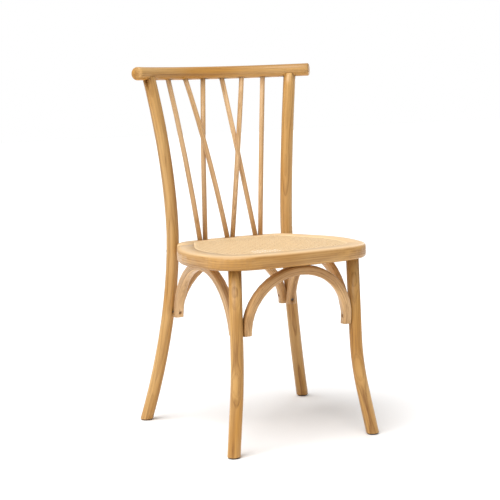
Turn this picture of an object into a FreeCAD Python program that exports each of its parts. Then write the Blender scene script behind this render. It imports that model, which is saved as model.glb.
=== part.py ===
import FreeCAD, Part
import math
import os
from FreeCAD import Placement, Rotation, Vector

# A cane seat dining chair of bent round wood. X runs from side to side, Y from the front
# to the back and Z up, in millimetres, with the origin on the floor in the middle.

# Slack between pieces that fit into each other, and what cutting shapes run past a face
fit = 0.1
spare = 1.0

# Bars are bent longer than they end up, cutting blocks reach past the whole chair, and the
# short straight runs that stand for a bend meet in mitres
end_allowance = 8.0
reach = 600.0
mitred = 1

# Crest rail: a round bar bent to an arc in plan
rail_axis_height = 870.0
rail_diameter = 32.0
rail_bend_radius = 365.0
rail_half_span = 236.0
rail_middle_y = 227.9
rail_end_round = 4.0
rail_end_steps = 3
rail_runs = 18

# Rear legs: one bent piece each from the floor to the crest rail
rear_leg_diameter = 31.0
rear_foot_x = 225.6
rear_foot_y = 219.2
rear_waist_x = 158.5
rear_waist_y = 148.4
rear_waist_height_x = 480.0
rear_waist_height_y = 535.0
rear_top_x = 195.4
rear_bend_power_x = 1.72
rear_bend_power_y = 1.95
rear_leg_runs = 20
saddle_lip_drop = 7.0
rear_tenon_diameter = 20.0
rear_tenon_top_cover = 6.0

# Front legs: straight down to a knee, then flared out to the foot
front_leg_diameter = 30.0
front_top_x = 151.8
front_top_y = -193.5
front_knee_x = 155.5
front_knee_y = -194.3
front_knee_height = 174.0
front_foot_x = 182.1
front_foot_y = -214.3
front_knee_radius = 700.0
front_knee_runs = 5
front_tenon_diameter = 22.0
front_tenon_length = 24.0

# Seat frame: straight runs that meet at rounded corners
seat_top_height = 454.0
seat_thickness = 33.0
seat_front_y = -251.6
seat_front_radius = 900.0
seat_corner_x = 191.7
seat_corner_y = -226.6
seat_corner_radius = 100.0
seat_side_x = 227.3
seat_side_y = -40.9
seat_side_radius = 299.0
seat_rear_corner_x = 145.8
seat_rear_corner_y = 157.2
seat_rear_corner_radius = 60.0
seat_back_y = 181.2
seat_back_radius = 600.0
seat_edge_round = 8.0
seat_edge_steps = 3
seat_opening_inset = 72.0
seat_joint_y = 77.0

# Cane, held in a groove by a bead
groove_inset = 42.0
groove_width = 5.0
groove_depth = 8.0
cane_thickness = 1.2
cane_recess = 0.4
cane_land_width = 5.0
cane_relief_depth = 5.0
cane_pitch = 36.0
cane_hole_width = 21.0

# Spindles: three narrow Vs, where x and y are where a rod meets the seat and the rail
spindle_diameter = 12.5
spindle_tenon_diameter = 8.0
spindle_tenon_length = 13.0
spindle_past_axis = 3.0
spindle_run_bend = 1.5
spindle_bow_y = -4.0
spindle_crossing_gap = 0.3
outer_rod_seat_x = 84.3
outer_rod_rail_x = 133.1
outer_rod_bow_x = -2.7
inner_rod_seat_x = 70.0
inner_rod_rail_x = 24.6
inner_rod_bow_x = 1.5
middle_rod_seat_x = 7.2
middle_rod_rail_x = 81.2
middle_rod_bow_x = -3.0
side_rods_seat_y = 152.8
middle_rods_seat_y = 156.4

# Hoops under the seat
hoop_thickness = 21.0
hoop_width = 22.0
hoop_edge_round = 6.0
hoop_edge_steps = 3
hoop_foot_height = 269.0
hoop_crown_flat = 1.5
hoop_runs = 20
front_hoop_half_span = 139.5
front_hoop_spring_height = 284.0
front_hoop_foot_y = -193.6
front_hoop_crown_y = -220.0
side_hoop_front_x = 147.0
side_hoop_rear_x = 158.0
side_hoop_front_y = -180.7
side_hoop_rear_y = 149.8
side_hoop_spring_height = 247.0
back_hoop_half_span = 159.5
back_hoop_spring_height = 262.0
back_hoop_foot_y = 162.7
back_hoop_crown_y = 152.0

# Screws, bolts, dowels and glides
screw_head_diameter = 7.5
screw_head_height = 3.5
screw_shank_diameter = 4.0
screw_seat_depth = 7.0
screw_into_leg = 11.0
screw_into_seat = 14.0
cross_screw_rise = 20.0
side_screw_rise = 12.0
bolt_depth = 21.0
bolt_angle = 50.0
bolt_diameter = 6.0
bolt_head_diameter = 14.0
bolt_head_height = 3.0
bolt_head_recess = 4.0
bolt_past_nut = 6.0
bolt_socket_width = 4.0
bolt_socket_depth = 2.0
nut_distance = 46.0
nut_diameter = 10.0
nut_length = 20.0
dowel_diameter = 10.0
dowel_length = 36.0
dowel_first_x = 132.0
dowel_spacing = 26.0
dowel_depth = 19.0
glide_thickness = 3.5
glide_diameter = 25.0
glide_chamfer = 1.0
glide_nail_diameter = 3.0
glide_nail_length = 16.0

# Worked out from the sizes above
rail_centre_y = rail_middle_y - rail_bend_radius
seat_under_height = seat_top_height - seat_thickness
cane_top_height = seat_top_height - cane_recess
cane_under_height = cane_top_height - cane_thickness
cane_inset = groove_inset + groove_width
cross_screw_height = hoop_foot_height + cross_screw_rise
side_screw_height = hoop_foot_height + side_screw_rise
bolt_height = seat_top_height - bolt_depth
dowel_height = seat_top_height - dowel_depth

def rail_y(x):
    """Where the rail's axis runs in plan."""
    return rail_centre_y + math.sqrt(rail_bend_radius ** 2 - x ** 2)


def horizontal_slab(bottom, top):
    """Everything between two heights."""
    corner = Vector(-reach, -reach, bottom)
    return Part.makeBox(2 * reach, 2 * reach, top - bottom, corner)


def circle_wire(centre, direction, diameter):
    """A circle square to a direction, turned the same way for every direction near vertical."""
    edge = Part.makeCircle(diameter / 2)
    edge.Placement = Placement(centre, Rotation(Vector(0, 0, 1), direction))
    return Part.Wire([edge])


def bent_bar(points, section):
    """A bent bar as short straight runs from point to point."""
    return Part.makePolygon(points).makePipeShell([section], True, False, mitred)


def round_bar(points, diameter):
    """A bent bar with a round section."""
    return bent_bar(points, circle_wire(points[0], points[1] - points[0], diameter))


def spread(low, high, runs):
    """Evenly spread values from low to high."""
    return [low + (high - low) * run / runs for run in range(runs + 1)]


def edge_points(edge, runs):
    """Evenly spread points on an edge."""
    return [edge.valueAt(turn) for turn in spread(edge.FirstParameter, edge.LastParameter, runs)]


def quarter_round(radius, steps):
    """Points of a rounded edge: how far in from the end, and how far below the full size."""
    turns = [math.pi / 2 * step / steps for step in range(steps + 1)]
    return [(radius - radius * math.cos(turn), radius - radius * math.sin(turn)) for turn in turns]


def rod(start, end, diameter):
    """A plain cylinder from one point to another."""
    along = end - start
    return Part.makeCylinder(diameter / 2, along.Length, start, along)


def mirrored(shape):
    """The same piece on the other side of the chair."""
    return shape.mirror(Vector(0, 0, 0), Vector(1, 0, 0))


# Crest rail

def rail_body(diameter):
    """The bent bar, square at its ends and short of the rounded caps."""
    half_turn = math.asin(rail_half_span / rail_bend_radius) - rail_end_round / rail_bend_radius
    points = [Vector(rail_bend_radius * math.sin(turn),
                     rail_centre_y + rail_bend_radius * math.cos(turn), rail_axis_height)
              for turn in spread(-half_turn, half_turn, rail_runs)]
    return round_bar(points, diameter)


def rail_cap(end):
    """The rounded cap on an end of the bar."""
    outward = end.normalAt(0, 0)
    steps = quarter_round(rail_end_round, rail_end_steps)
    wires = [circle_wire(end.CenterOfMass + outward * (rail_end_round - inwards), outward,
                         rail_diameter - 2 * less) for inwards, less in steps[::-1]]
    return Part.makeLoft(wires, True, True)


def crest_rail():
    """The bar with rounded ends and a socket for each post and spindle."""
    bar = rail_body(rail_diameter)
    ends = [face for face in bar.Faces if isinstance(face.Surface, Part.Plane)]
    bar = bar.fuse([rail_cap(end) for end in ends]).removeSplitter()
    for side in (-1, 1):
        bar = bar.cut(rear_tenon(side, rear_tenon_diameter + 2 * fit, fit))
    for place in spindle_places():
        bar = bar.cut(spindle_bar(place, fit))
    return bar


# Rear legs

def bent_place(height, waist, waist_height, end, end_height, power):
    """A bend that leaves the waist gently and reaches its end at the end height."""
    share = (height - waist_height) / (end_height - waist_height)
    return waist + (end - waist) * share ** power


def rear_leg_point(height):
    """The axis of the right rear leg at a height."""
    if height < rear_waist_height_x:
        x = bent_place(height, rear_waist_x, rear_waist_height_x, rear_foot_x, 0, rear_bend_power_x)
    else:
        x = bent_place(height, rear_waist_x, rear_waist_height_x, rear_top_x, rail_axis_height,
                       rear_bend_power_x)
    if height < rear_waist_height_y:
        y = bent_place(height, rear_waist_y, rear_waist_height_y, rear_foot_y, 0, rear_bend_power_y)
    else:
        y = bent_place(height, rear_waist_y, rear_waist_height_y, rail_y(rear_top_x), rail_axis_height,
                       rear_bend_power_y)
    return Vector(x, y, height)


def rear_leg_direction(height):
    """Which way the right rear leg runs, upwards."""
    return (rear_leg_point(height + spare) - rear_leg_point(height - spare)).normalize()


def rear_leg_body(diameter):
    """The bent round bar of the right rear leg, before its ends are cut."""
    heights = spread(-end_allowance, rail_axis_height, rear_leg_runs)
    return round_bar([rear_leg_point(height) for height in heights], diameter)


def rear_tenon(side, diameter, clearance):
    """The round tenon in the crest rail, or its socket when a clearance is given."""
    root_height = rail_axis_height - rail_diameter
    top_height = rail_axis_height + rail_diameter / 2 - rear_tenon_top_cover + clearance
    root = rear_leg_point(root_height)
    way = rear_leg_direction(rail_axis_height)
    top = root + way * ((top_height - root_height) / way.z)
    tenon = rod(root, top, diameter)
    if side < 0:
        return mirrored(tenon)
    return tenon


def rear_leg(side):
    """A rear leg with its saddle and tenon at the top and a flat foot."""
    leg = rear_leg_body(rear_leg_diameter)
    leg = leg.common(horizontal_slab(glide_thickness, rail_axis_height - saddle_lip_drop))
    leg = leg.cut(rail_body(rail_diameter + 2 * fit))
    leg = leg.fuse(rear_tenon(1, rear_tenon_diameter, 0)).removeSplitter()
    if side < 0:
        leg = mirrored(leg)
    for place, way in leg_screws(side):
        leg = leg.cut(screw_hole(place, way, screw_into_leg))
    leg = leg.cut(bolt_hole(side)).cut(bolt_counterbore(side))
    return leg.cut(glide_nail(rear_foot_centre(side), rear_foot_way(side), fit))


def rear_foot_centre(side):
    """The middle of a rear foot's flat end."""
    point = rear_leg_point(glide_thickness)
    return Vector(side * point.x, point.y, point.z)


def rear_foot_way(side):
    """Which way a rear foot runs, upwards."""
    way = rear_leg_direction(glide_thickness)
    return Vector(side * way.x, way.y, way.z)


# Front legs

def corner_arc(before, corner, after, radius):
    """The start, middle and end of the arc that rounds a corner."""
    back = (before - corner).normalize()
    onward = (after - corner).normalize()
    turn = math.pi - back.getAngle(onward)
    tangent = radius * math.tan(turn / 2)
    middle = corner + (back + onward).normalize() * (radius / math.cos(turn / 2) - radius)
    return corner + back * tangent, middle, corner + onward * tangent


def front_leg_line():
    """The top, knee and foot of the right front leg's axis."""
    top = Vector(front_top_x, front_top_y, seat_under_height)
    knee = Vector(front_knee_x, front_knee_y, front_knee_height)
    foot = Vector(front_foot_x, front_foot_y, 0)
    return top, knee, foot


def front_leg_point(height):
    """The axis of the right front leg above its knee."""
    top, knee, foot = front_leg_line()
    share = (height - knee.z) / (top.z - knee.z)
    return knee + (top - knee) * share


def front_leg_body(diameter):
    """The right front leg's bar: two straight runs joined by a wide bend."""
    top, knee, foot = front_leg_line()
    up = (top - knee).normalize()
    down = (foot - knee).normalize()
    knee_arc = Part.Arc(*corner_arc(foot, knee, top, front_knee_radius)).toShape()
    points = [foot + down * end_allowance] + edge_points(knee_arc, front_knee_runs)
    return round_bar(points + [top + up * end_allowance], diameter)


def front_tenon(clearance):
    """The right leg's round tenon in the seat frame, or its socket when a clearance is given."""
    top, knee, foot = front_leg_line()
    up = (top - knee).normalize()
    return rod(top - up * end_allowance, top + up * (front_tenon_length + clearance),
               front_tenon_diameter + 2 * clearance)


def front_leg(side):
    """A front leg with a shouldered tenon at the top and a flat foot."""
    leg = front_leg_body(front_leg_diameter)
    leg = leg.common(horizontal_slab(glide_thickness, seat_under_height))
    leg = leg.fuse(front_tenon(0)).removeSplitter()
    if side < 0:
        leg = mirrored(leg)
    for place, way in leg_screws(side, front=True):
        leg = leg.cut(screw_hole(place, way, screw_into_leg))
    return leg.cut(glide_nail(front_foot_centre(side), front_foot_way(side), fit))


def front_foot_way(side):
    """Which way a front foot runs, upwards."""
    top, knee, foot = front_leg_line()
    way = (knee - foot).normalize()
    return Vector(side * way.x, way.y, way.z)


def front_foot_centre(side):
    """The middle of a front foot's flat end."""
    way = front_foot_way(side)
    foot = Vector(side * front_foot_x, front_foot_y, 0)
    return foot + way * (glide_thickness / way.z)


# Seat frame

def seat_outline(height, inset=0):
    """The seat's outer edge: straight runs and the arcs that round its corners."""
    right = [(Vector(seat_corner_x, seat_corner_y, height), seat_corner_radius),
             (Vector(seat_side_x, seat_side_y, height), seat_side_radius),
             (Vector(seat_rear_corner_x, seat_rear_corner_y, height), seat_rear_corner_radius)]
    left = [(Vector(-point.x, point.y, height), radius) for point, radius in reversed(right)]
    front = [(Vector(0, seat_front_y, height), seat_front_radius)]
    back = [(Vector(0, seat_back_y, height), seat_back_radius)]
    corners = front + right + back + left
    points = [point for point, radius in corners]
    arcs = [corner_arc(points[at - 1], point, points[(at + 1) % len(points)], radius)
            for at, (point, radius) in enumerate(corners)]
    arcs = [inset_arc(arc, inset) for arc in arcs]
    edges = []
    for arc, following in zip(arcs, arcs[1:] + arcs[:1]):
        edges.append(Part.Arc(*arc).toShape())
        edges.append(Part.makeLine(arc[2], following[0]))
    return Part.Wire(edges)


def inset_arc(arc, inset):
    """An arc of three points moved towards its centre."""
    centre = Part.Arc(*arc).toShape().Curve.Center
    return [point + (centre - point).normalize() * inset for point in arc]


def seat_wire(inset, height):
    """The seat's outline moved inwards all round."""
    if inset < seat_rear_corner_radius:
        return seat_outline(height, inset)
    return seat_outline(height).makeOffset2D(-inset)


def seat_prism(inset, bottom, top):
    """A block of the seat's shape between two heights."""
    return Part.Face(seat_wire(inset, bottom)).extrude(Vector(0, 0, top - bottom))


def seat_ring():
    """The whole frame before it is parted: rounded edge, cane groove and opening."""
    edge = quarter_round(seat_edge_round, seat_edge_steps)
    wires = [seat_outline(seat_under_height + up, inset) for up, inset in edge]
    wires += [seat_outline(seat_top_height - down, inset) for down, inset in edge[::-1]]
    ring = Part.makeLoft(wires, True, True)
    above = seat_top_height + spare
    ring = ring.cut(seat_prism(seat_opening_inset, seat_under_height - spare, above))
    ring = ring.cut(seat_prism(cane_inset - spare, cane_under_height, above))
    relief = seat_prism(cane_inset + cane_land_width, seat_top_height - cane_relief_depth, above)
    ring = ring.cut(relief)
    groove = seat_prism(groove_inset, seat_top_height - groove_depth, above)
    core = seat_prism(cane_inset, seat_under_height, cane_under_height)
    return ring.cut(groove.cut(core))


def bored_seat_ring():
    """The frame with everything that enters it taken out."""
    ring = seat_ring()
    rear_leg_bar = rear_leg_body(rear_leg_diameter + 2 * fit)
    for shape in (rear_leg_bar, front_tenon(fit), bolt_hole(1), nut_bore()):
        ring = ring.cut(shape).cut(mirrored(shape))
    for place in spindle_places():
        ring = ring.cut(spindle_tenon(place, fit))
    for place in dowel_places():
        ring = ring.cut(dowel(place, fit))
    for place in crown_places():
        ring = ring.cut(screw_hole(place, Vector(0, 0, 1), screw_into_seat))
    return ring


def seat_frame_parts():
    """The bent front bow and the back piece, parted square across the frame."""
    ring = bored_seat_ring()
    behind = Part.makeBox(2 * reach, reach, reach, Vector(-reach, seat_joint_y, 0))
    return ring.cut(behind), ring.common(behind)


def dowel_places():
    """Two dowels in each joint of the frame."""
    return [Vector(side * (dowel_first_x + dowel_spacing * step), seat_joint_y, dowel_height)
            for side in (-1, 1) for step in (0, 1)]


def dowel(place, clearance):
    """A dowel across the joint, or its two holes when a clearance is given."""
    half = Vector(0, dowel_length / 2 + clearance, 0)
    return rod(place - half, place + half, dowel_diameter + 2 * clearance)


# Cane and its bead

def cane_panel():
    """A flat panel with the cane's rows of eight-sided holes."""
    outline = seat_wire(cane_inset, cane_under_height)
    allowed = Part.Face(seat_wire(cane_inset + cane_hole_width, cane_under_height))
    box = allowed.BoundBox
    holes = []
    columns = int(box.XMax / cane_pitch)
    first_row = int(math.floor(box.YMin / cane_pitch))
    last_row = int(math.ceil(box.YMax / cane_pitch))
    for column in range(-columns, columns + 1):
        for row in range(first_row, last_row + 1):
            centre = Vector(column * cane_pitch, row * cane_pitch, cane_under_height)
            if allowed.isInside(centre, 0.01, True):
                holes.append(cane_hole(centre))
    face = Part.makeFace([outline] + holes, "Part::FaceMakerBullseye")
    return face.extrude(Vector(0, 0, cane_thickness))


def cane_hole(centre):
    """One eight-sided hole."""
    radius = cane_hole_width / 2 / math.cos(math.pi / 8)
    corners = [centre + Vector(math.cos(turn), math.sin(turn), 0) * radius
               for turn in (math.pi / 8 + math.pi / 4 * corner for corner in range(9))]
    return Part.makePolygon(corners)


def cane_spline():
    """The bead that fills the groove, with a crowned top."""
    crown = groove_width / 4
    levels = (seat_top_height - groove_depth, 0), (seat_top_height - crown, 0), (seat_top_height, crown)
    outer = [seat_outline(height, groove_inset + fit + less) for height, less in levels]
    inner = [seat_outline(height, cane_inset - fit - less) for height, less in levels]
    return Part.makeLoft(outer, True, True).cut(Part.makeLoft(inner, True, True))


# Spindles

def spindle_places():
    """Start, bow and end of each rod from left to right, with the middle V in front."""
    front_bow, rear_bow = crossing_bows()
    places = []
    for side in (-1, 1):
        places.append(spindle_place(side, outer_rod_seat_x, outer_rod_rail_x, side_rods_seat_y,
                                    outer_rod_bow_x, spindle_bow_y))
        places.append(spindle_place(side, inner_rod_seat_x, inner_rod_rail_x, side_rods_seat_y,
                                    inner_rod_bow_x, rear_bow))
        places.append(spindle_place(side, middle_rod_seat_x, middle_rod_rail_x, middle_rods_seat_y,
                                    middle_rod_bow_x, front_bow))
    return places


def spindle_place(side, seat_x, rail_x, seat_y, bow_x, bow_y):
    """A rod's start on the seat, its bow at half height and its end on the rail's axis."""
    start = Vector(side * seat_x, seat_y, seat_top_height)
    end = Vector(side * rail_x, rail_y(rail_x), rail_axis_height)
    return start, Vector(side * bow_x, bow_y, 0), end


def crossing_bows():
    """How far the crossing rods bow so that the front one passes clear of the rear one."""
    between = inner_rod_seat_x - middle_rod_seat_x + inner_rod_bow_x - middle_rod_bow_x
    closing = middle_rod_rail_x - middle_rod_seat_x + inner_rod_seat_x - inner_rod_rail_x
    crossing = between / closing
    rear_rise = rail_y(inner_rod_rail_x) - side_rods_seat_y
    front_rise = rail_y(middle_rod_rail_x) - middle_rods_seat_y
    front_y = middle_rods_seat_y + front_rise * crossing
    rear_y = side_rods_seat_y + rear_rise * crossing
    lean = math.atan2(rear_rise, rail_axis_height - seat_top_height)
    apart = (spindle_diameter + spindle_crossing_gap) / math.cos(lean)
    share = (apart - (rear_y - front_y)) / 2 / (4 * crossing * (1 - crossing))
    return spindle_bow_y - share, spindle_bow_y + share


def spindle_bar(place, clearance=0):
    """A rod bent to an arc from the seat into the rail, or its socket with a clearance."""
    start, bow, end = place
    arc = Part.Arc(start, (start + end) * 0.5 + bow, end).toShape()
    more = (spindle_past_axis + clearance) / arc.Curve.Radius
    path = Part.ArcOfCircle(arc.Curve, arc.FirstParameter - more, arc.LastParameter + more).toShape()
    bend = math.degrees(path.LastParameter - path.FirstParameter)
    points = edge_points(path, math.ceil(bend / spindle_run_bend))
    bar = round_bar(points, spindle_diameter + 2 * clearance)
    return bar.common(horizontal_slab(seat_top_height, rail_axis_height + rail_diameter))


def spindle_tenon(place, clearance=0):
    """The tenon of a rod in the seat frame, or its socket with a clearance."""
    start, bow, end = place
    way = ((end - start) * 0.5 + bow * 2).normalize()
    return rod(start + way * spare, start - way * (spindle_tenon_length + clearance),
               spindle_tenon_diameter + 2 * clearance)


def spindle(place):
    """A rod with its tenon."""
    return spindle_bar(place).fuse(spindle_tenon(place)).removeSplitter()


# Hoops

def rounded_section(centre):
    """A hoop's level section: a rectangle whose corners are rounded in short straight steps."""
    points = []
    for x, y in ((1, 1), (-1, 1), (-1, -1), (1, -1)):
        corner = quarter_round(hoop_edge_round, hoop_edge_steps)
        if x != y:
            corner = corner[::-1]
        points += [centre + Vector(x * (hoop_thickness / 2 - inwards), y * (hoop_width / 2 - less), 0)
                   for inwards, less in corner]
    return Part.makePolygon(points + points[:1])


def hoop_blank(half_span, spring, foot_y, crown_y):
    """A square bar with rounded edges, bent to half an ellipse and leaning to its crown."""
    crown = seat_under_height + hoop_crown_flat
    middle = half_span - hoop_thickness / 2
    rise = crown - hoop_thickness / 2 - spring
    bottom = min(hoop_foot_height, spring) - end_allowance
    points = [Vector(middle * math.cos(turn), 0, spring + rise * math.sin(turn))
              for turn in spread(0, math.pi, hoop_runs)]
    points = [Vector(middle, 0, bottom)] + points + [Vector(-middle, 0, bottom)]
    blank = bent_bar(points, rounded_section(points[0]))
    lean = math.degrees(math.atan2(crown_y - foot_y, crown - hoop_foot_height))
    blank.rotate(Vector(0, 0, hoop_foot_height), Vector(1, 0, 0), -lean)
    return blank


def fitted_hoop(blank, screws, crown):
    """A hoop scribed to its legs, flat under the seat and bored for its screws."""
    hoop = blank.common(horizontal_slab(hoop_foot_height, seat_under_height))
    rear = rear_leg_body(rear_leg_diameter + 2 * fit)
    front = front_leg_body(front_leg_diameter + 2 * fit)
    for body in (rear, front, mirrored(rear), mirrored(front)):
        hoop = hoop.cut(body)
    for place, way in screws:
        hoop = hoop.cut(screw_bore(place, way, screw_into_leg))
    return hoop.cut(screw_bore(crown, Vector(0, 0, 1), screw_into_seat))


def front_hoop():
    """The hoop between the front legs, its crown leaning forwards under the frame."""
    blank = hoop_blank(front_hoop_half_span, front_hoop_spring_height, 0,
                       front_hoop_crown_y - front_hoop_foot_y)
    blank.translate(Vector(0, front_hoop_foot_y, 0))
    return fitted_hoop(blank, [front_hoop_screw(side) for side in (-1, 1)], crown_places()[0])


def back_hoop():
    """The hoop between the rear legs."""
    blank = hoop_blank(back_hoop_half_span, back_hoop_spring_height, 0,
                       back_hoop_crown_y - back_hoop_foot_y)
    blank.translate(Vector(0, back_hoop_foot_y, 0))
    return fitted_hoop(blank, [back_hoop_screw(side) for side in (-1, 1)], crown_places()[1])


def side_hoop_angle():
    """How far a side hoop turns outwards towards the back, seen from above."""
    return math.atan2(side_hoop_rear_x - side_hoop_front_x, side_hoop_rear_y - side_hoop_front_y)


def side_hoop(side):
    """The hoop between a front and a rear leg."""
    half_span = (side_hoop_rear_y - side_hoop_front_y) / 2
    blank = hoop_blank(half_span, side_hoop_spring_height, 0, 0)
    blank.rotate(Vector(0, 0, 0), Vector(0, 0, 1), 90 - math.degrees(side_hoop_angle()))
    blank.translate(side_hoop_middle())
    if side < 0:
        blank = mirrored(blank)
    screws = [side_hoop_screw(side, front) for front in (True, False)]
    return fitted_hoop(blank, screws, crown_places()[2 if side < 0 else 3])


def side_hoop_middle():
    """Where the middle of the right side hoop stands in plan."""
    return Vector((side_hoop_front_x + side_hoop_rear_x) / 2,
                  (side_hoop_front_y + side_hoop_rear_y) / 2, 0)


# Screws

def screw(place, way, into):
    """A screw driven through a hoop: place is the hoop's inner face, way points to the wood."""
    seat = place + way * screw_seat_depth
    head = rod(seat - way * screw_head_height, seat, screw_head_diameter)
    tip = place + way * (hoop_thickness + into - spare)
    return head.fuse(rod(seat - way * spare, tip, screw_shank_diameter)).removeSplitter()


def screw_hole(place, way, into):
    """The hole for a screw's shank."""
    return rod(place, place + way * (hoop_thickness + into), screw_shank_diameter + 2 * fit)


def screw_bore(place, way, into):
    """The counterbore and the hole of a screw."""
    seat = place + way * screw_seat_depth
    wide = rod(place - way * screw_seat_depth, seat, screw_head_diameter + spare)
    return wide.fuse(screw_hole(place, way, into))


def front_hoop_screw(side):
    """From the front hoop's inner face to the front leg's axis."""
    axis = front_leg_point(cross_screw_height)
    inner = front_hoop_half_span - hoop_thickness
    lean = (front_hoop_crown_y - front_hoop_foot_y) / (seat_under_height - hoop_foot_height)
    y = front_hoop_foot_y + lean * (cross_screw_height - hoop_foot_height)
    place = Vector(side * inner, y, cross_screw_height)
    return place, (Vector(side * axis.x, axis.y, axis.z) - place).normalize()


def back_hoop_screw(side):
    """From the back hoop's inner face to the rear leg's axis."""
    axis = rear_leg_point(cross_screw_height)
    inner = back_hoop_half_span - hoop_thickness
    place = Vector(side * inner, back_hoop_foot_y, cross_screw_height)
    return place, (Vector(side * axis.x, axis.y, axis.z) - place).normalize()


def side_hoop_screw(side, front):
    """From a side hoop's inner face to the axis of the leg at that end."""
    if front:
        axis = front_leg_point(side_screw_height)
        place = Vector(side_hoop_front_x, side_hoop_front_y + hoop_thickness, side_screw_height)
    else:
        axis = rear_leg_point(side_screw_height)
        place = Vector(side_hoop_rear_x, side_hoop_rear_y - hoop_thickness, side_screw_height)
    place = Vector(side * place.x, place.y, place.z)
    return place, (Vector(side * axis.x, axis.y, axis.z) - place).normalize()


def leg_screws(side, front=False):
    """The two hoop screws that enter a leg."""
    if front:
        return [front_hoop_screw(side), side_hoop_screw(side, True)]
    return [back_hoop_screw(side), side_hoop_screw(side, False)]


def crown_places():
    """Where the crown screws start under the front, back, left and right hoops."""
    height = seat_under_height - hoop_thickness
    middle = side_hoop_middle()
    return [Vector(0, front_hoop_crown_y, height), Vector(0, back_hoop_crown_y, height),
            Vector(-middle.x, middle.y, height), Vector(middle.x, middle.y, height)]


def hoop_leg_screws():
    """Eight screws, one at each hoop end."""
    places = leg_screws(-1) + leg_screws(1) + leg_screws(-1, True) + leg_screws(1, True)
    return Part.makeCompound([screw(place, way, screw_into_leg) for place, way in places])


def hoop_seat_screws():
    """Four screws, one at each crown."""
    up = Vector(0, 0, 1)
    return Part.makeCompound([screw(place, up, screw_into_seat) for place in crown_places()])


# Seat bolts

def bolt_line(side):
    """The leg's axis at the bolt, and the way that the bolt points into the frame."""
    axis = rear_leg_point(bolt_height)
    angle = math.radians(bolt_angle)
    way = Vector(-side * math.cos(angle), -math.sin(angle), 0)
    return Vector(side * axis.x, axis.y, bolt_height), way


def hexagon_prism(width, depth):
    """A block with six sides, standing on the origin."""
    corner = width / 2 / math.cos(math.pi / 6)
    points = [Vector(corner * math.cos(math.pi / 3 * at), corner * math.sin(math.pi / 3 * at), 0)
              for at in range(7)]
    return Part.Face(Part.makePolygon(points)).extrude(Vector(0, 0, depth))


def seat_bolt(side):
    """A flat headed bolt from the back of the leg into the frame."""
    axis, way = bolt_line(side)
    seat = axis - way * (rear_leg_diameter / 2 - bolt_head_recess)
    top = seat - way * bolt_head_height
    head = rod(top, seat, bolt_head_diameter)
    socket = hexagon_prism(bolt_socket_width, bolt_socket_depth)
    socket.Placement = Placement(top, Rotation(Vector(0, 0, 1), way))
    tip = axis + way * (nut_distance + bolt_past_nut)
    shank = rod(seat - way * (bolt_head_height - bolt_socket_depth), tip, bolt_diameter)
    return head.cut(socket).fuse(shank).removeSplitter()


def bolt_hole(side):
    """The hole for a bolt's shank."""
    axis, way = bolt_line(side)
    tip = axis + way * (nut_distance + bolt_past_nut + spare)
    return rod(axis - way * rear_leg_diameter / 2, tip, bolt_diameter + 2 * fit)


def bolt_counterbore(side):
    """The recess for a bolt's head, open at the back of the leg."""
    axis, way = bolt_line(side)
    seat = axis - way * (rear_leg_diameter / 2 - bolt_head_recess)
    return rod(seat - way * bolt_head_diameter, seat, bolt_head_diameter + spare)


def nut_line(side, clearance):
    """The bottom and top of a barrel nut."""
    axis, way = bolt_line(side)
    middle = axis + way * nut_distance
    half = Vector(0, 0, nut_length / 2 + clearance)
    return middle - half, middle + half


def barrel_nut(side):
    """A round nut across the bolt."""
    bottom, top = nut_line(side, 0)
    axis, way = bolt_line(side)
    hole = rod(axis, axis + way * (nut_distance + nut_diameter), bolt_diameter + 2 * fit)
    return rod(bottom, top, nut_diameter).cut(hole)


def nut_bore():
    """The hole for the right barrel nut, open under the frame."""
    bottom, top = nut_line(1, fit)
    return rod(Vector(bottom.x, bottom.y, seat_under_height - spare), top, nut_diameter + 2 * fit)


# Foot glides

def glide_nail(centre, way, clearance):
    """The nail of a glide, or its hole when a clearance is given."""
    end = centre + way * (glide_nail_length + clearance)
    return rod(centre - way * spare, end, glide_nail_diameter + 2 * clearance)


def foot_glide(centre, way):
    """A round pad with its nail."""
    pad = Part.makeCylinder(glide_diameter / 2, glide_thickness, Vector(centre.x, centre.y, 0))
    rims = [edge for edge in pad.Edges if edge.isClosed() and edge.BoundBox.ZMax < fit]
    return pad.makeChamfer(glide_chamfer, rims).fuse(glide_nail(centre, way, 0)).removeSplitter()


def foot_glides():
    """Four glides, one under each leg."""
    feet = [(front_foot_centre(side), front_foot_way(side)) for side in (-1, 1)]
    feet += [(rear_foot_centre(side), rear_foot_way(side)) for side in (-1, 1)]
    return Part.makeCompound([foot_glide(centre, way) for centre, way in feet])


# The chair

def chair():
    """Every sub-part by name."""
    bow, back = seat_frame_parts()
    left_outer, left_inner, left_middle, right_outer, right_inner, right_middle = spindle_places()
    return {
        "crest_rail": crest_rail(),
        "rear_leg_left": rear_leg(-1),
        "rear_leg_right": rear_leg(1),
        "front_leg_left": front_leg(-1),
        "front_leg_right": front_leg(1),
        "spindle_outer_left": spindle(left_outer),
        "spindle_inner_left": spindle(left_inner),
        "spindle_middle_left": spindle(left_middle),
        "spindle_middle_right": spindle(right_middle),
        "spindle_inner_right": spindle(right_inner),
        "spindle_outer_right": spindle(right_outer),
        "seat_frame_bow": bow,
        "seat_frame_back": back,
        "seat_frame_dowels": Part.makeCompound([dowel(place, 0) for place in dowel_places()]),
        "cane_panel": cane_panel(),
        "cane_spline": cane_spline(),
        "hoop_front": front_hoop(),
        "hoop_back": back_hoop(),
        "hoop_left": side_hoop(-1),
        "hoop_right": side_hoop(1),
        "hoop_leg_screws": hoop_leg_screws(),
        "hoop_seat_screws": hoop_seat_screws(),
        "seat_bolts": Part.makeCompound([seat_bolt(side) for side in (-1, 1)]),
        "barrel_nuts": Part.makeCompound([barrel_nut(side) for side in (-1, 1)]),
        "foot_glides": foot_glides(),
    }


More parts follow.
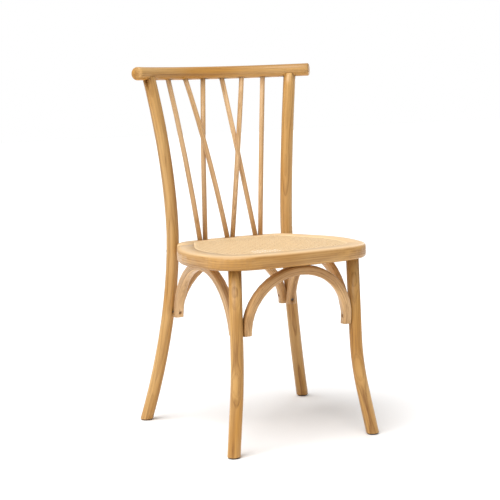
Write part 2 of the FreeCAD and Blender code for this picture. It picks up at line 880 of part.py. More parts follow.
os.makedirs("parts", exist_ok=True)
for name, shape in chair().items():
    shape.exportStep("parts/" + name + ".step")
    print(name, len(shape.Solids), "solids", round(shape.Volume / 1000, 1), "cm3", shape.isValid())
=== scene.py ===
import math

import bpy
from mathutils import Matrix, Vector
from mathutils.geometry import convex_hull_2d


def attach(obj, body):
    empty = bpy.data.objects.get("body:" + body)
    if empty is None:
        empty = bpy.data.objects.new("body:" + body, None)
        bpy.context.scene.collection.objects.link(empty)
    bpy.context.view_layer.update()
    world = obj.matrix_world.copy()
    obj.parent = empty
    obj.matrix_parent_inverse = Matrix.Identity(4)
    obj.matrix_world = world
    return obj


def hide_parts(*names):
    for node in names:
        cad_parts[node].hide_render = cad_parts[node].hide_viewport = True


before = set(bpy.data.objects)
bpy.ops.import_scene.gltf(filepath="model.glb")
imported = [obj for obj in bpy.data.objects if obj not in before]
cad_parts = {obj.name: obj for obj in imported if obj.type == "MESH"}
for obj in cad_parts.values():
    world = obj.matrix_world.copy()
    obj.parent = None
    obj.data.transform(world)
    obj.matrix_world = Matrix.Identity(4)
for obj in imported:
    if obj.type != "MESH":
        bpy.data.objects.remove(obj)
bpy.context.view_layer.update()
bpy.ops.object.select_all(action="DESELECT")


# The camera
# It stands left of the chair's front, a little above the seat, and is tipped slightly
# clockwise. The long lens keeps the uprights nearly parallel.
camera_turn = math.radians(-25.55)
camera_rise = math.radians(6.8)
camera_roll = math.radians(-2.22)
camera_place = Vector((-1.27049, -2.61651, 0.78283))
back = Vector((math.sin(camera_turn) * math.cos(camera_rise),
               -math.cos(camera_turn) * math.cos(camera_rise), math.sin(camera_rise)))
right = Vector((math.cos(camera_turn), math.sin(camera_turn), 0))
up = back.cross(right)
rolled_right = right * math.cos(camera_roll) + up * math.sin(camera_roll)
rolled_up = up * math.cos(camera_roll) - right * math.sin(camera_roll)
bpy.ops.object.camera_add()
camera = bpy.context.object
camera.data.sensor_width = 36
camera.data.lens = 86.98
turned = Matrix((rolled_right, rolled_up, back)).transposed()
camera.matrix_world = Matrix.Translation(camera_place) @ turned.to_4x4()
bpy.context.scene.camera = camera


# The studio
# A white room: even light from all round, a broad soft light from above and the left, and two
# tall panes that draw lengthwise highlights on the round bars.
bpy.context.scene.view_settings.view_transform = "Standard"
room = bpy.data.worlds.new("white_room")
room.use_nodes = True
room_light = room.node_tree.nodes["Background"]
room_light.inputs["Color"].default_value = (1, 1, 1, 1)
seen = room.node_tree.nodes.new("ShaderNodeLightPath")
brightness = room.node_tree.nodes.new("ShaderNodeMapRange")
brightness.inputs["To Min"].default_value = 0.5
brightness.inputs["To Max"].default_value = 1.0
room.node_tree.links.new(seen.outputs["Is Camera Ray"], brightness.inputs["Value"])
room.node_tree.links.new(brightness.outputs["Result"], room_light.inputs["Strength"])
bpy.context.scene.world = room

bpy.ops.object.light_add(type="SUN")
sky_light = bpy.context.object
sky_light.name = "sky_light"
sky_light.data.energy = 3.1
sky_light.data.angle = math.radians(50)
sky_light.rotation_mode = "QUATERNION"
sky_light.rotation_quaternion = Vector((0.4, 0.14, -0.9)).to_track_quat("-Z", "Y")

for name, place, power in (("left_pane", (-2.2, -0.6, 0.8), 5), ("right_pane", (1.7, 1.6, 0.9), 4)):
    bpy.ops.object.light_add(type="AREA", location=place)
    pane = bpy.context.object
    pane.name = name
    pane.data.shape = "RECTANGLE"
    pane.data.size = 0.35
    pane.data.size_y = 1.9
    pane.data.energy = power
    pane.rotation_mode = "QUATERNION"
    pane.rotation_quaternion = (Vector((0, 0, 0.5)) - Vector(place)).to_track_quat("-Z", "Y")

bpy.ops.mesh.primitive_plane_add(size=60)
floor = bpy.context.object
floor.name = "studio_floor"
floor_paint = bpy.data.materials.new("floor_paint")
floor_paint.use_nodes = True
floor_surface = floor_paint.node_tree.nodes["Principled BSDF"]
floor_surface.inputs["Base Color"].default_value = (0.93, 0.93, 0.93, 1)
floor_surface.inputs["Roughness"].default_value = 0.9
floor_surface.inputs["Specular IOR Level"].default_value = 0.1
floor.data.materials.append(floor_paint)


# Rear legs
# Each is one steamed and bent bar of round oak with a clear satin lacquer, bolted into the
# corner of the seat frame, and coped and tenoned into the crest rail. The grain follows it.
def put(tree, kind, inputs, output=None, **settings):
    """Adds a node with its settings, gives each input a value or a link, and gives an output."""
    made = tree.nodes.new("ShaderNode" + kind)
    for name, value in settings.items():
        setattr(made, name, value)
    for name, value in inputs.items():
        if isinstance(value, bpy.types.NodeSocket):
            tree.links.new(value, made.inputs[name])
        else:
            made.inputs[name].default_value = value
    if output:
        return made.outputs[output]
    return next(socket for socket in made.outputs if socket.enabled)


def reckon(tree, operation, first, second=0.0, third=0.0):
    """One step of arithmetic."""
    return put(tree, "Math", {0: first, 1: second, 2: third}, operation=operation)


def blend_colours(tree, share, first, second):
    """The first colour with a share of the second."""
    return put(tree, "Mix", {0: share, 6: first, 7: second}, data_type="RGBA")


def ramp(tree, value, stops):
    """A grey value that follows the stops."""
    made = tree.nodes.new("ShaderNodeValToRGB")
    tree.links.new(value, made.inputs[0])
    band = made.color_ramp
    while len(band.elements) < len(stops):
        band.elements.new(1.0)
    for element, (place, grey) in zip(band.elements, stops):
        element.position = place
        element.color = (grey, grey, grey, 1)
    return made.outputs[0]


def new_finish(name):
    """A new material, with its nodes, its surface shader and the place on the piece."""
    material = bpy.data.materials.new(name)
    material.use_nodes = True
    tree = material.node_tree
    return material, tree, tree.nodes["Principled BSDF"], put(tree, "TexCoord", {}, "Object")


def apart(tree, place):
    """The three values of a place."""
    parts = tree.nodes.new("ShaderNodeSeparateXYZ")
    tree.links.new(place, parts.inputs[0])
    return parts.outputs


def new_group(name, inputs, outputs):
    """A shader node group with named inputs and outputs."""
    tree = bpy.data.node_groups.new(name, "ShaderNodeTree")
    for socket, kind in inputs.items():
        tree.interface.new_socket(socket, in_out="INPUT", socket_type="NodeSocket" + kind)
    for socket, kind in outputs.items():
        tree.interface.new_socket(socket, in_out="OUTPUT", socket_type="NodeSocket" + kind)
    return tree, tree.nodes.new("NodeGroupInput").outputs, tree.nodes.new("NodeGroupOutput").inputs


def use_group(tree, group, inputs):
    """Places a node group and gives back its outputs."""
    made = tree.nodes.new("ShaderNodeGroup")
    made.node_tree = group
    for name, value in inputs.items():
        if isinstance(value, bpy.types.NodeSocket):
            tree.links.new(value, made.inputs[name])
        else:
            made.inputs[name].default_value = value
    return made.outputs


def oak_grain_group():
    """Growth rings, pores and fibres of oak, laid out along the Z of the given place."""
    tree, given, result = new_group(
        "oak_grain",
        {"Place": "Vector", "Pale": "Color", "Golden": "Color", "Dark": "Color",
         "Ring Width": "Float", "Figure": "Float"},
        {"Color": "Color", "Roughness": "Float", "Height": "Float"})
    place = given["Place"]
    across, depth, along = apart(tree, place)
    pith_distance, slant, ripple_depth = 0.038, 0.006, 0.0022

    def noise(stretch, detail, rough=0.5):
        stretched = put(tree, "VectorMath", {0: place, 1: stretch}, operation="MULTIPLY")
        return put(tree, "TexNoise", {"Vector": stretched, "Scale": 1.0, "Detail": detail,
                                      "Roughness": rough})

    drift = reckon(tree, "MULTIPLY", reckon(tree, "SUBTRACT", noise((14, 14, 3.2), 2.0), 0.5),
                   given["Figure"])
    ripple = reckon(tree, "MULTIPLY", reckon(tree, "SUBTRACT", noise((60, 60, 9), 2.0), 0.5),
                    ripple_depth)
    from_pith = reckon(tree, "SQRT", reckon(
        tree, "ADD", reckon(tree, "POWER", reckon(tree, "ADD", across, pith_distance), 2.0),
        reckon(tree, "POWER", reckon(tree, "MULTIPLY", depth, 0.8), 2.0)))
    field = reckon(tree, "ADD", reckon(tree, "ADD", from_pith, drift),
                   reckon(tree, "MULTIPLY_ADD", along, slant, ripple))
    phase = reckon(tree, "DIVIDE", reckon(tree, "ADD", field, 1.0), given["Ring Width"])
    ring = ramp(tree, reckon(tree, "FRACT", phase),
                [(0.0, 0.7), (0.1, 1.0), (0.32, 0.4), (0.6, 0.1), (0.9, 0.0), (1.0, 0.7)])
    year = put(tree, "TexWhiteNoise", {"W": reckon(tree, "FLOOR", phase)}, "Value",
               noise_dimensions="1D")
    ring = reckon(tree, "MULTIPLY", ring, reckon(tree, "MULTIPLY_ADD", year, 0.8, 0.2))
    fine = noise((1300, 1300, 38), 1.0)
    pores = ramp(tree, fine, [(0.0, 0.0), (0.56, 0.0), (0.68, 1.0), (1.0, 1.0)])
    pores = reckon(tree, "MULTIPLY", pores, reckon(tree, "MULTIPLY_ADD", ring, 0.75, 0.25))
    fibre = reckon(tree, "SUBTRACT", noise((330, 330, 5), 3.0, 0.6), 0.5)
    streak = ramp(tree, noise((85, 85, 1.8), 2.0),
                  [(0.0, 0.0), (0.42, 0.0), (0.62, 1.0), (1.0, 1.0)])
    patch = ramp(tree, noise((18, 18, 4), 2.0), [(0.0, 0.0), (0.38, 0.0), (0.62, 1.0), (1.0, 1.0)])
    ground = blend_colours(tree, patch, given["Pale"], given["Golden"])
    darkness = reckon(tree, "MULTIPLY_ADD", fibre, 0.8, reckon(tree, "MULTIPLY", pores, 0.45))
    darkness = reckon(tree, "ADD", darkness, reckon(tree, "MULTIPLY_ADD", streak, 0.34,
                                                    reckon(tree, "MULTIPLY", ring, 0.5)))
    darkness = reckon(tree, "MINIMUM", reckon(tree, "MAXIMUM", darkness, 0.0), 1.0)
    tree.links.new(blend_colours(tree, darkness, ground, given["Dark"]), result["Color"])
    tree.links.new(reckon(tree, "MULTIPLY_ADD", darkness, 0.16, 0.34), result["Roughness"])
    tree.links.new(reckon(tree, "MULTIPLY_ADD", pores, -1.0, reckon(tree, "MULTIPLY", ring, -0.35)),
                   result["Height"])
    return tree


def bend_group():
    """Where a bent bar's middle is at a height: a curve up and a curve down from its waist."""
    tree, given, result = new_group(
        "bar_bend", {"Height": "Float", "Waist Height": "Float", "Top Height": "Float",
                     "Waist": "Float", "Foot": "Float", "Top": "Float", "Power": "Float"},
        {"Middle": "Float"})
    below = reckon(tree, "LESS_THAN", given["Height"], given["Waist Height"])
    length = put(tree, "Mix", {0: below, 2: reckon(tree, "SUBTRACT", given["Top Height"],
                                                   given["Waist Height"]),
                               3: given["Waist Height"]})
    end = put(tree, "Mix", {0: below, 2: given["Top"], 3: given["Foot"]})
    away = reckon(tree, "ABSOLUTE", reckon(tree, "SUBTRACT", given["Height"],
                                           given["Waist Height"]))
    share = reckon(tree, "POWER", reckon(tree, "DIVIDE", away, length), given["Power"])
    reach = reckon(tree, "SUBTRACT", end, given["Waist"])
    tree.links.new(reckon(tree, "MULTIPLY_ADD", reach, share, given["Waist"]), result["Middle"])
    return tree


oak_grain = oak_grain_group()
bar_bend = bend_group()
oak_pale = (0.61, 0.36, 0.13, 1)
oak_golden = (0.52, 0.255, 0.055, 1)
oak_dark = (0.2, 0.08, 0.016, 1)


def wood_material(name, place_nodes, pale=oak_pale, golden=oak_golden, dark=oak_dark,
                  ring_width=0.0034, figure=0.018):
    """Lacquered oak. The given function adds the nodes that follow the bar."""
    material, tree, surface, spot = new_finish(name)
    place = place_nodes(tree, *apart(tree, spot))
    grain = use_group(tree, oak_grain, {"Place": place, "Pale": pale, "Golden": golden,
                                        "Dark": dark, "Ring Width": ring_width, "Figure": figure})
    relief = put(tree, "Bump", {"Strength": 0.5, "Distance": 0.0003, "Height": grain["Height"]})
    tree.links.new(grain["Color"], surface.inputs["Base Color"])
    tree.links.new(grain["Roughness"], surface.inputs["Roughness"])
    tree.links.new(relief, surface.inputs["Normal"])
    surface.inputs["Specular IOR Level"].default_value = 0.3
    surface.inputs["Coat Weight"].default_value = 0.12
    surface.inputs["Coat Roughness"].default_value = 0.25
    return material


def join_place(tree, across, depth, along):
    """Three values as one place."""
    return put(tree, "CombineXYZ", {0: across, 1: depth, 2: along})


def bar_place(waist, foot, top, waist_heights, top_height, powers, start, flames=()):
    """Nodes for a pair of bent bars: each point measured from the bar's own middle.

    The pith lies behind the bar, so that the flat side of the rings shows at the front, and a
    flame is a height where the rings swell into a lens.
    """
    pith_sideways, pith_back, swelling = 0.43, 0.9, 0.0065

    def nodes(tree, x, y, z):
        side = reckon(tree, "SIGN", x)
        offsets = []
        for at, value in enumerate((reckon(tree, "ABSOLUTE", x), y)):
            middle = use_group(tree, bar_bend, {
                "Height": z, "Waist Height": waist_heights[at], "Top Height": top_height,
                "Waist": waist[at], "Foot": foot[at], "Top": top[at], "Power": powers[at]})
            offsets.append(reckon(tree, "SUBTRACT", value, middle["Middle"]))
        sideways = reckon(tree, "MULTIPLY", offsets[0], side)
        towards = reckon(tree, "MULTIPLY_ADD", sideways, -pith_sideways,
                         reckon(tree, "MULTIPLY", offsets[1], -pith_back))
        past = reckon(tree, "MULTIPLY_ADD", sideways, pith_back,
                      reckon(tree, "MULTIPLY", offsets[1], -pith_sideways))
        for height, length in flames:
            away = reckon(tree, "DIVIDE", reckon(tree, "SUBTRACT", z, height), length)
            swell = reckon(tree, "EXPONENT", reckon(tree, "MULTIPLY", reckon(
                tree, "MULTIPLY", away, away), -1.0))
            towards = reckon(tree, "MULTIPLY_ADD", swell, swelling, towards)
        return join_place(tree, towards, past, reckon(tree, "MULTIPLY_ADD", side, start, z))
    return nodes


def dress(name, material, smooth=True):
    """Gives a node its finish. Wood gets it on a copy with merged points and smooth shading."""
    merge_distance, sharp_angle = 0.00002, math.radians(40)
    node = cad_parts[name]
    if not smooth:
        node.data.materials.clear()
        node.data.materials.append(material)
        return
    piece = node.copy()
    piece.data = node.data.copy()
    piece.name = name + "_wood"
    piece.parent = None
    for key in list(piece.keys()):
        del piece[key]
    bpy.context.scene.collection.objects.link(piece)
    bpy.ops.object.select_all(action="DESELECT")
    piece.select_set(True)
    bpy.context.view_layer.objects.active = piece
    bpy.ops.object.mode_set(mode="EDIT")
    bpy.ops.mesh.select_all(action="SELECT")
    bpy.ops.mesh.remove_doubles(threshold=merge_distance)
    bpy.ops.object.mode_set(mode="OBJECT")
    bpy.ops.object.shade_smooth_by_angle(angle=sharp_angle)
    piece.data.materials.clear()
    piece.data.materials.append(material)
    piece.select_set(False)
    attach(piece, "root")
    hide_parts(name)


rear_leg_oak = wood_material("rear_leg_oak", bar_place(
    waist=(0.1585, 0.1484), foot=(0.2256, 0.2192), top=(0.1954, 0.1712),
    waist_heights=(0.48, 0.535), top_height=0.87, powers=(1.72, 1.95), start=3.1))
for side in ("left", "right"):
    dress("rear_leg_" + side, rear_leg_oak)


# Crest rail
# One round oak bar, bent in plan and rounded over at its ends. The legs and spindles stand
# in holes under it.
def rail_place(tree, x, y, z):
    """Each point by its place round the rail's bend."""
    bend_radius, centre_behind, pith_height = 0.365, 0.1371, 0.874
    from_centre = reckon(tree, "ADD", y, centre_behind)
    turn = reckon(tree, "ARCTAN2", x, from_centre)
    radius = reckon(tree, "SQRT", reckon(tree, "MULTIPLY_ADD", x, x,
                                         reckon(tree, "MULTIPLY", from_centre, from_centre)))
    return join_place(tree, reckon(tree, "SUBTRACT", z, pith_height),
                      reckon(tree, "SUBTRACT", radius, bend_radius),
                      reckon(tree, "MULTIPLY", turn, bend_radius))


dress("crest_rail", wood_material("rail_oak", rail_place, ring_width=0.0036))


# Spindles
# Six thin oak rods in three narrow Vs, two of them in front of their neighbours. Each has a
# tenon in the seat frame and stands in a hole in the rail.
# Painted light: the spindles get paler oak than the legs, to make up for the shade that the rail
# and the seat throw on them.
spindle_painted_light_pale = (0.75, 0.5, 0.27, 1)
spindle_painted_light_golden = (0.67, 0.42, 0.2, 1)
spindle_dark = (0.3, 0.15, 0.05, 1)
for name, seat, rail, start in (("outer", (0.0843, 0.1528), (0.1331, 0.2028), 5.3),
                                ("inner", (0.07, 0.1528), (0.0246, 0.2271), 7.7),
                                ("middle", (0.0072, 0.1564), (0.0812, 0.2188), 9.1)):
    spindle_oak = wood_material("spindle_oak_" + name, bar_place(
        waist=seat, foot=seat, top=rail, waist_heights=(0.454, 0.454), top_height=0.87,
        powers=(1, 1), start=start), spindle_painted_light_pale, spindle_painted_light_golden, spindle_dark, ring_width=0.0022)
    for side in ("left", "right"):
        dress("spindle_" + name + "_" + side, spindle_oak)


# Front legs
# Round oak bars, straight down to a knee and then flared out. A shouldered tenon holds each
# in the seat frame.
front_leg_oak = wood_material("front_leg_oak", bar_place(
    waist=(0.1555, -0.1943), foot=(0.1821, -0.2143), top=(0.1518, -0.1935),
    waist_heights=(0.174, 0.174), top_height=0.421, powers=(1, 1), start=12.4,
    flames=((0.372, 0.03), (0.157, 0.034))), ring_width=0.0042)
for side in ("left", "right"):
    dress("front_leg_" + side, front_leg_oak)


# Seat frame
# A bow bent round the front and sides and a back piece, dowelled together. The grain goes
# round the seat with the bow.
def seat_bend_group():
    """Each point by its height and its place across and round the seat's rounded square."""
    tree, given, result = new_group("seat_bend", {"Spot": "Vector"}, {"Place": "Vector"})
    half_width, half_depth, squareness = 0.216, 0.209, 2.9
    middle_y, pith_height = -0.036, 0.43
    x, y, z = apart(tree, given["Spot"])
    wide = reckon(tree, "POWER", reckon(tree, "DIVIDE", reckon(tree, "ABSOLUTE", x), half_width),
                  squareness)
    deep = reckon(tree, "SUBTRACT", y, middle_y)
    long = reckon(tree, "POWER", reckon(tree, "DIVIDE", reckon(tree, "ABSOLUTE", deep), half_depth),
                  squareness)
    ring = reckon(tree, "POWER", reckon(tree, "ADD", wide, long), 1 / squareness)
    turn = reckon(tree, "ARCTAN2", x, reckon(tree, "MULTIPLY", deep, -1.0))
    tree.links.new(join_place(tree, reckon(tree, "SUBTRACT", z, pith_height),
                              reckon(tree, "MULTIPLY_ADD", ring, half_width, -half_width),
                              reckon(tree, "MULTIPLY", turn, half_width)), result["Place"])
    return tree


seat_bend = seat_bend_group()
seat_pale = (0.6, 0.36, 0.14, 1)
seat_golden = (0.5, 0.255, 0.065, 1)
seat_dark = (0.27, 0.12, 0.03, 1)
# Painted highlight: the paler colour laid on the seat's flat top in place of the light that falls
# on it from above.
seat_top_painted_highlight = (0.84, 0.6, 0.34, 1)


def seat_place(tree, x, y, z):
    """Nodes that follow the seat's bend."""
    return use_group(tree, seat_bend, {"Spot": join_place(tree, x, y, z)})["Place"]


def paint_top_highlight(material):
    """Paints a highlight on the seat's flat top: a paler colour there than on its sides, standing
    in for the light that falls on it from above.
    """
    tree = material.node_tree
    surface = tree.nodes["Principled BSDF"]
    grain = surface.inputs["Base Color"].links[0].from_socket
    height = apart(tree, put(tree, "TexCoord", {}, "Object"))[2]
    # Painted highlight: the pale share grows from nothing at the rounded edge to 0.8 on the flat
    # top.
    top = put(tree, "MapRange", {"Value": height, "From Min": 0.4495, "From Max": 0.4538,
                                 "To Min": 0.0, "To Max": 0.8})
    tree.links.new(blend_colours(tree, top, grain, seat_top_painted_highlight), surface.inputs["Base Color"])


seat_oak = wood_material("seat_oak", seat_place, seat_pale, seat_golden, seat_dark,
                         ring_width=0.005, figure=0.012)
# Paints the highlight on the seat's flat top.
paint_top_highlight(seat_oak)
for name in ("seat_frame_bow", "seat_frame_back"):
    dress(name, seat_oak)


# Dowels
# Beech pins, two across each of the two joints of the seat frame, glued into blind holes
# and hidden inside it.
dowel_wood = wood_material("dowel_wood", lambda tree, x, y, z: join_place(tree, x, z, y),
                           pale=(0.75, 0.55, 0.33, 1), golden=(0.68, 0.46, 0.25, 1),
                           dark=(0.45, 0.27, 0.12, 1), ring_width=0.002)
dress("seat_frame_dowels", dowel_wood, smooth=False)


# Hoops
# Square bars with rounded edges, bent to half an ellipse, scribed to the legs and screwed to
# them and to the seat. The grain follows each arch.
def arch_bend_group():
    """Each point by its place across and along an arch on two straight feet."""
    tree, given, result = new_group(
        "arch_bend", {"Along Span": "Float", "Thickness": "Float", "Height": "Float",
                      "Spring": "Float", "Middle": "Float", "Stretch": "Float", "Start": "Float"},
        {"Place": "Vector"})
    span, middle = given["Along Span"], given["Middle"]
    climb = reckon(tree, "SUBTRACT", given["Height"], given["Spring"])
    above = reckon(tree, "MULTIPLY", reckon(tree, "MAXIMUM", climb, 0.0), given["Stretch"])
    below = reckon(tree, "MINIMUM", climb, 0.0)
    ring = reckon(tree, "SQRT", reckon(tree, "MULTIPLY_ADD", span, span,
                                       reckon(tree, "MULTIPLY", above, above)))
    turn = reckon(tree, "ARCTAN2", span, above)
    way = reckon(tree, "SIGN", span)
    along = reckon(tree, "MULTIPLY_ADD", reckon(tree, "MULTIPLY", below, way), -1.0,
                   reckon(tree, "MULTIPLY", turn, middle))
    tree.links.new(join_place(tree, reckon(tree, "SUBTRACT", ring, middle), given["Thickness"],
                              reckon(tree, "ADD", along, given["Start"])), result["Place"])
    return tree


arch_bend = arch_bend_group()


def arch_place(half_span, spring, start):
    """Nodes that measure each point along and across an arch."""
    crown_middle_height, half_thickness = 0.412, 0.0105
    middle = half_span - half_thickness

    def nodes(tree, along_span, thickness, z):
        return use_group(tree, arch_bend, {
            "Along Span": along_span, "Thickness": thickness, "Height": z, "Spring": spring,
            "Middle": middle, "Stretch": middle / (crown_middle_height - spring),
            "Start": start})["Place"]
    return nodes


def cross_hoop_place(half_span, spring, middle_y, start):
    """An arch across the chair."""
    arch = arch_place(half_span, spring, start)
    return lambda tree, x, y, z: arch(tree, x, reckon(tree, "SUBTRACT", y, middle_y), z)


def side_hoop_place(tree, x, y, z):
    """An arch along the chair, one on each side."""
    half_span, spring, start = 0.16525, 0.247, 21.0
    middle_x, middle_y, sides_apart = 0.1525, -0.01545, 2.3
    arch = arch_place(half_span, spring, start)
    side = reckon(tree, "SIGN", x)
    depth = reckon(tree, "SUBTRACT", reckon(tree, "ABSOLUTE", x), middle_x)
    place = arch(tree, reckon(tree, "SUBTRACT", y, middle_y), depth, z)
    shift = put(tree, "CombineXYZ", {2: reckon(tree, "MULTIPLY", side, sides_apart)})
    return put(tree, "VectorMath", {0: place, 1: shift}, operation="ADD")


hoop_pale = (0.69, 0.43, 0.2, 1)
hoop_golden = (0.56, 0.31, 0.12, 1)
# Painted light: the left hoop gets paler copies of the hoop colours, standing in for the light that
# falls on it from the left and off the floor.
left_hoop_painted_light_pale = (0.77, 0.51, 0.27, 1)
left_hoop_painted_light_golden = (0.68, 0.41, 0.18, 1)
hoop_ring_width = 0.0042
for name, place_nodes, pale, golden in (
        ("hoop_front", cross_hoop_place(0.1395, 0.284, -0.207, 15.2), hoop_pale, hoop_golden),
        ("hoop_back", cross_hoop_place(0.1595, 0.262, 0.157, 17.9), hoop_pale, hoop_golden),
        ("hoop_right", side_hoop_place, hoop_pale, hoop_golden),
        ("hoop_left", side_hoop_place, left_hoop_painted_light_pale, left_hoop_painted_light_golden)):
    dress(name, wood_material(name + "_oak", place_nodes, pale, golden, ring_width=hoop_ring_width))


# Woven cane
# Open mesh of rattan skin: pairs of strands lengthwise and crosswise, woven over and under
# each other, and single strands both ways across the corners of the holes. Its edge is
# pressed into the groove under the bead.
mesh_pitch = 0.0127
strand_width = 0.0022
diagonal_width = 1.15 * strand_width
strand_thickness = 0.0003
pair_gap = 0.0025
slope_length = 0.0031
cane_height = 0.453
under_bead = 0.0024
lengthwise_lift = 0.00022
diagonal_lift = 0.00042
pair_repeats = (29, 31)
diagonal_repeats = (29, 29)


def ribbon(width, points):
    """One repeat of a strand along Y, extruded from section to section, open at both ends."""
    first, top_share = points[0], 0.66
    bpy.ops.mesh.primitive_plane_add(size=1, location=(0, first[0], first[1]),
                                     rotation=(math.radians(90), 0, 0))
    strand = bpy.context.object
    strand.scale = (width, strand_thickness, 1)
    bpy.ops.object.transform_apply(location=True, rotation=True, scale=True)
    bpy.ops.object.mode_set(mode="EDIT")
    for before, after in zip(points, points[1:]):
        bpy.ops.mesh.extrude_region_move(TRANSFORM_OT_translate={
            "value": (0, after[0] - before[0], after[1] - before[1])})
    bpy.ops.mesh.select_all(action="DESELECT")
    bpy.ops.object.mode_set(mode="OBJECT")
    for face in strand.data.polygons:
        face.select = abs(face.normal.y) > 0.9
    for vertex in strand.data.vertices:
        middle = points[min(range(len(points)), key=lambda at: abs(points[at][0] - vertex.co.y))][1]
        if vertex.co.z > middle:
            vertex.co.x *= top_share
    bpy.ops.object.mode_set(mode="EDIT")
    bpy.ops.mesh.delete(type="FACE")
    bpy.ops.object.mode_set(mode="OBJECT")
    return strand


def lay_out(strands, shifts, counts, steps, name):
    """Joins shifted strands, and repeats them along and across to cover the seat."""
    for strand, shift in zip(strands, shifts):
        strand.location = (shift, 0, 0)
    bpy.ops.object.select_all(action="DESELECT")
    for strand in strands:
        strand.select_set(True)
    sheet = strands[0]
    bpy.context.view_layer.objects.active = sheet
    bpy.ops.object.transform_apply(location=True, rotation=False, scale=False)
    bpy.ops.object.join()
    for axis, count, step in ((1, counts[1], steps[1]), (0, counts[0], steps[0])):
        repeat = sheet.modifiers.new("repeat", "ARRAY")
        repeat.count = count
        repeat.use_relative_offset = False
        repeat.use_constant_offset = True
        repeat.constant_offset_displace = [step if at == axis else 0 for at in range(3)]
        repeat.use_merge_vertices = axis == 1
        repeat.merge_threshold = 0.00001
        bpy.ops.object.modifier_apply(modifier=repeat.name)
    sheet.location = (-(counts[0] - 1) * steps[0] / 2 - (shifts[0] + shifts[-1]) / 2,
                      -(counts[1] - 1) * steps[1] / 2, 0)
    bpy.ops.object.transform_apply(location=True, rotation=False, scale=False)
    sheet.name = name
    return sheet


panel_points = [vertex.co.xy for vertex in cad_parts["cane_panel"].data.vertices]
panel_outline = [panel_points[at] for at in convex_hull_2d(panel_points)]
weave_middle_y = -0.035


def cut_to_groove(sheet, turn):
    """Turns a sheet of strands, puts it on the seat and trims it under the bead."""
    sheet.rotation_euler = (0, 0, turn)
    sheet.location = (0, weave_middle_y, cane_height)
    bpy.ops.object.select_all(action="DESELECT")
    sheet.select_set(True)
    bpy.context.view_layer.objects.active = sheet
    bpy.ops.object.transform_apply(location=True, rotation=True, scale=False)
    edges = []
    for start, end in zip(panel_outline, panel_outline[1:] + panel_outline[:1]):
        along = end - start
        outward = Vector((along.y, -along.x)).normalized()
        edges.append((outward, outward.dot(start) + under_bead))
    if edges[0][0].dot(Vector((0, weave_middle_y))) > edges[0][1]:
        edges = [(-outward, 2 * under_bead - limit) for outward, limit in edges]
    for vertex in sheet.data.vertices:
        vertex.select = False
    for edge in sheet.data.edges:
        edge.select = False
    for face in sheet.data.polygons:
        spot = face.center.xy
        face.select = any(outward.dot(spot) > limit for outward, limit in edges)
    bpy.ops.object.mode_set(mode="EDIT")
    bpy.ops.mesh.select_mode(type="FACE")
    bpy.ops.mesh.delete(type="FACE")
    bpy.ops.object.mode_set(mode="OBJECT")
    bpy.ops.object.shade_smooth_by_angle(angle=math.radians(50))


def cane_skin_group():
    """Rattan skin with fine fibres along the Y of the given place and small darker flecks."""
    tree, given, result = new_group(
        "cane_skin", {"Place": "Vector"},
        {"Color": "Color", "Roughness": "Float", "Height": "Float"})
    turned = given["Place"]
    stretched = put(tree, "VectorMath", {0: turned, 1: (2600, 90, 600)}, operation="MULTIPLY")
    fibres = put(tree, "TexNoise", {"Vector": stretched, "Scale": 1.0, "Detail": 2.0})
    tones = put(tree, "TexNoise", {"Vector": turned, "Scale": 55.0, "Detail": 2.0})
    flecks = ramp(tree, put(tree, "TexNoise", {"Vector": turned, "Scale": 210.0, "Detail": 3.0}),
                  [(0.0, 0.0), (0.62, 0.0), (0.72, 1.0), (1.0, 1.0)])
    ground = blend_colours(tree, tones, (0.74, 0.51, 0.26, 1), (0.88, 0.68, 0.42, 1))
    shade = reckon(tree, "MULTIPLY_ADD", flecks, 0.4,
                   reckon(tree, "MULTIPLY", reckon(tree, "SUBTRACT", fibres, 0.38), 0.8))
    shade = reckon(tree, "MAXIMUM", shade, 0.0)
    tree.links.new(blend_colours(tree, shade, ground, (0.48, 0.27, 0.1, 1)), result["Color"])
    tree.links.new(reckon(tree, "MULTIPLY_ADD", fibres, 0.2, 0.3), result["Roughness"])
    tree.links.new(fibres, result["Height"])
    return tree


cane_skin = cane_skin_group()


def cane_material(name, turn):
    """Glossy rattan skin for strands that are turned by an angle on the seat."""
    material, tree, surface, spot = new_finish(name)
    turned = put(tree, "Mapping", {"Vector": spot, "Rotation": (0, 0, -turn)})
    skin = use_group(tree, cane_skin, {"Place": turned})
    tree.links.new(skin["Color"], surface.inputs["Base Color"])
    tree.links.new(skin["Roughness"], surface.inputs["Roughness"])
    relief = put(tree, "Bump", {"Strength": 0.4, "Distance": 0.0001, "Height": skin["Height"]})
    tree.links.new(relief, surface.inputs["Normal"])
    surface.inputs["Specular IOR Level"].default_value = 0.45
    return material


half = mesh_pitch / 2
edge_of_pair = half - slope_length
near_pair = pair_gap / 2


def pair_wave(lift):
    """Over one strand of the crossing pair and under the other, then level to the next pair."""
    return [(-half, 0), (-edge_of_pair, lift / 2), (-near_pair, lift), (0, 0),
            (near_pair, -lift), (edge_of_pair, -lift / 2), (half, 0)]


def diagonal_wave(lift):
    """Evenly over one pair and under the next, in eight steps."""
    length = mesh_pitch * math.sqrt(2)
    return [(length * (step / 8 - 0.5), -lift * math.cos(2 * math.pi * (step / 8 - 0.25)))
            for step in range(9)]


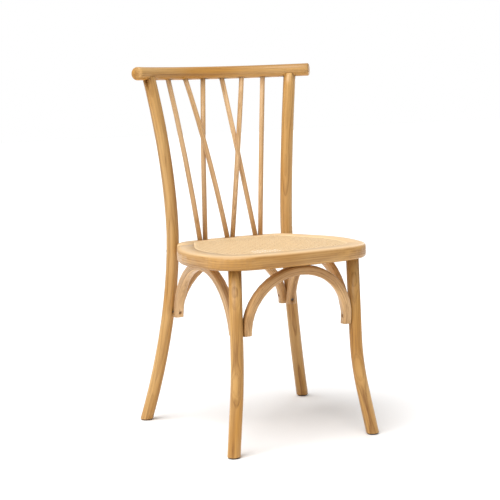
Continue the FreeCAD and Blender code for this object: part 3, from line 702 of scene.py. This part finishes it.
sheets = []
for name, turn, lifts in (
        ("cane_strands_lengthwise", 0, (lengthwise_lift, -lengthwise_lift)),
        ("cane_strands_crosswise", math.pi / 2, (-lengthwise_lift, lengthwise_lift))):
    pairs = [ribbon(strand_width, pair_wave(lift)) for lift in lifts]
    sheet = lay_out(pairs, (-near_pair, near_pair), pair_repeats, (mesh_pitch, mesh_pitch), name)
    sheets.append((sheet, turn))
between_lines = mesh_pitch / math.sqrt(2)
for name, turn in (("cane_strands_diagonal_right", -math.pi / 4),
                   ("cane_strands_diagonal_left", math.pi / 4)):
    lines = [ribbon(diagonal_width, diagonal_wave(lift))
             for lift in (-diagonal_lift, diagonal_lift)]
    sheet = lay_out(lines, (-between_lines / 2, between_lines / 2), diagonal_repeats,
                    (2 * between_lines, 2 * between_lines), name)
    sheets.append((sheet, turn))

for sheet, turn in sheets:
    cut_to_groove(sheet, turn)
    sheet.data.materials.clear()
    sheet.data.materials.append(cane_material(sheet.name + "_skin", turn))
    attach(sheet, "root")
    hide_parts("cane_panel")


# Bead
# A strip of reed with a crowned top, pressed and glued into the groove over the edge of
# the cane.
def reed_material():
    """Pale reed with fibres that go round the seat."""
    material, tree, surface, spot = new_finish("bead_reed")
    place = use_group(tree, seat_bend, {"Spot": spot})["Place"]
    stretched = put(tree, "VectorMath", {0: place, 1: (2400, 2400, 60)}, operation="MULTIPLY")
    fibres = put(tree, "TexNoise", {"Vector": stretched, "Scale": 1.0, "Detail": 2.0})
    tree.links.new(blend_colours(tree, fibres, (0.86, 0.66, 0.4, 1), (0.76, 0.54, 0.3, 1)),
                   surface.inputs["Base Color"])
    tree.links.new(reckon(tree, "MULTIPLY_ADD", fibres, 0.25, 0.35), surface.inputs["Roughness"])
    relief = put(tree, "Bump", {"Strength": 0.4, "Distance": 0.0001, "Height": fibres})
    tree.links.new(relief, surface.inputs["Normal"])
    return material


dress("cane_spline", reed_material(), smooth=False)


# Screws, bolts and nuts
# Dark zinc plated steel: wood screws deep in counterbored holes through the hoops, and a
# flat headed bolt with a barrel nut between each rear leg and the seat frame.
def plated_steel():
    """Dark plating, worn a little brighter in spots."""
    material, tree, surface, spot = new_finish("plated_steel")
    worn = put(tree, "TexNoise", {"Vector": spot, "Scale": 600.0, "Detail": 4.0})
    tree.links.new(blend_colours(tree, worn, (0.05, 0.045, 0.04, 1), (0.24, 0.21, 0.18, 1)),
                   surface.inputs["Base Color"])
    tree.links.new(reckon(tree, "MULTIPLY_ADD", worn, 0.35, 0.25), surface.inputs["Roughness"])
    surface.inputs["Metallic"].default_value = 1.0
    return material


steel = plated_steel()
for name in ("hoop_leg_screws", "hoop_seat_screws", "seat_bolts", "barrel_nuts"):
    dress(name, steel, smooth=False)


# Glides
# Round pads of dark moulded plastic, each held under a foot by the nail moulded into it.
def glide_plastic():
    """Nearly black plastic with a fine moulded skin, paler where it is scuffed."""
    material, tree, surface, spot = new_finish("glide_plastic")
    skin = put(tree, "TexNoise", {"Vector": spot, "Scale": 2500.0, "Detail": 2.0})
    scuffs = put(tree, "TexNoise", {"Vector": spot, "Scale": 160.0, "Detail": 4.0})
    tree.links.new(blend_colours(tree, scuffs, (0.03, 0.025, 0.02, 1), (0.09, 0.075, 0.06, 1)),
                   surface.inputs["Base Color"])
    tree.links.new(reckon(tree, "MULTIPLY_ADD", scuffs, 0.3, 0.45), surface.inputs["Roughness"])
    relief = put(tree, "Bump", {"Strength": 0.3, "Distance": 0.0001, "Height": skin})
    tree.links.new(relief, surface.inputs["Normal"])
    return material


dress("foot_glides", glide_plastic(), smooth=False)
